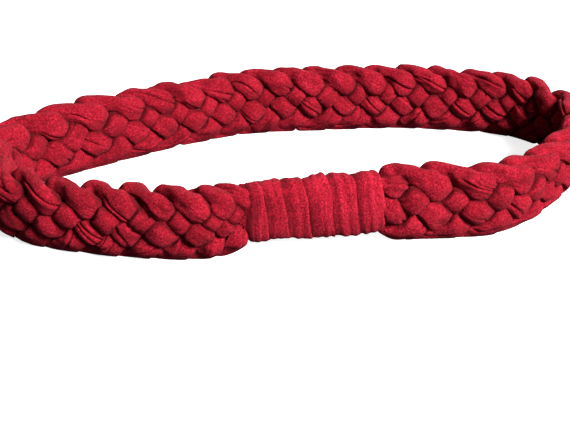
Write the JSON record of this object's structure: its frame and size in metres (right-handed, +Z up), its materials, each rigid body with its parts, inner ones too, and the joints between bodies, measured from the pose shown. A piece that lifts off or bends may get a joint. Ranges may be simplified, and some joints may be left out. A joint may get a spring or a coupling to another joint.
{
  "type": "braided headband",
  "caption": "Soft flat-braided fabric headband: strips plaited into a closed loop, with a wrapped joint over the stitched ends. Worn round the head to hold hair and sweat back.",
  "frame": {"origin": "centre of the bounding box at its bottom, where the band's lower edge rests", "axes": "+Z up across the band's height, +X along the long way of the loop, the wrapped joint faces -Y"},
  "size_m": [0.244, 0.1241, 0.0323],
  "materials": {
    "red_jersey": "brushed cotton jersey, matt with a soft nap",
    "red_jersey_wrap": "brushed cotton jersey, matt with a soft nap",
    "red_thread": "spun polyester sewing thread"
  },
  "bodies": {
    "root": {"strand_1": "red_jersey", "strand_2": "red_jersey", "strand_3": "red_jersey", "strand_4": "red_jersey", "strand_5": "red_jersey", "wrap_strip": "red_jersey_wrap", "end_binding_left": "red_thread", "end_binding_right": "red_thread", "join_stitches": "red_thread", "wrap_tack_stitches": "red_thread"}
  },
  "joints": []
}
